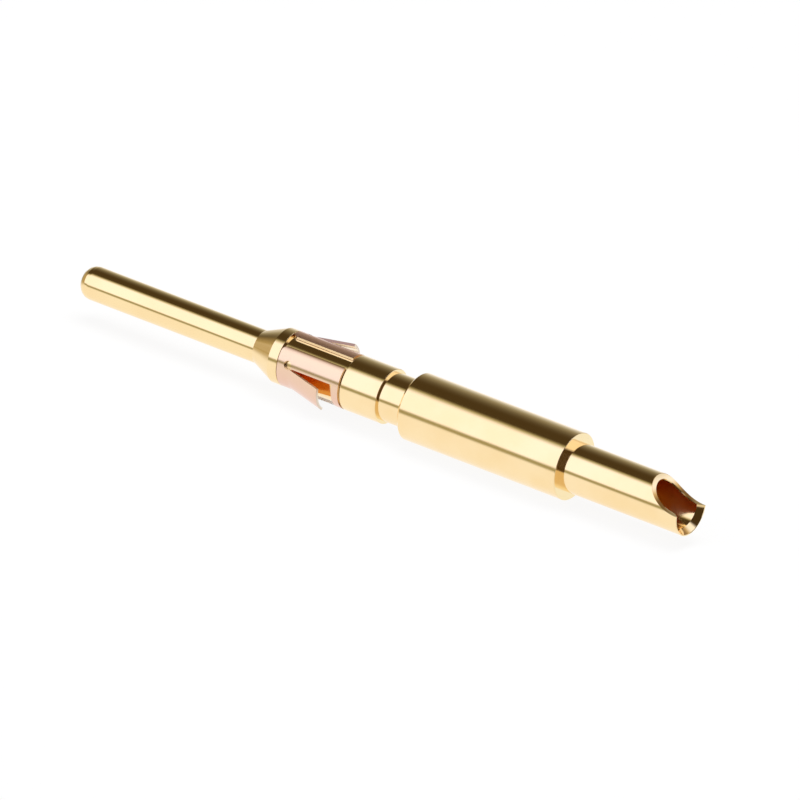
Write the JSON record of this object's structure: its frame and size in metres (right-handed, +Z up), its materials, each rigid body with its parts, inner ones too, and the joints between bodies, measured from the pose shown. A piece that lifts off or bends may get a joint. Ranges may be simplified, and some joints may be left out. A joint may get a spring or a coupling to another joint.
{
  "type": "circular connector solder contact",
  "caption": "Turned gold-plated pin contact with a stepped barrel, a scooped solder cup and a rolled spring clip whose outward tines lock it into a connector insert.",
  "frame": {"origin": "on the axis of the turned body, at the barrel's front face", "axes": "+X along the axis towards the solder cup, the mating pin towards -X, +Z up through the cup's opening"},
  "size_m": [0.0338, 0.0035, 0.0032],
  "materials": {
    "gold_plate": "bright gold plating over turned copper alloy",
    "copper_alloy": "bare rolled copper alloy sheet, pinkish, satin"
  },
  "bodies": {
    "contact": {"contact_body": "gold_plate"},
    "clip": {"retention_clip": "copper_alloy"}
  },
  "joints": [
    {"name": "clip_turn", "type": "hinge", "parent": "contact", "child": "clip", "pos_m": [-0.00515, 0, 0], "axis": [1, 0, 0], "continuous": true}
  ]
}
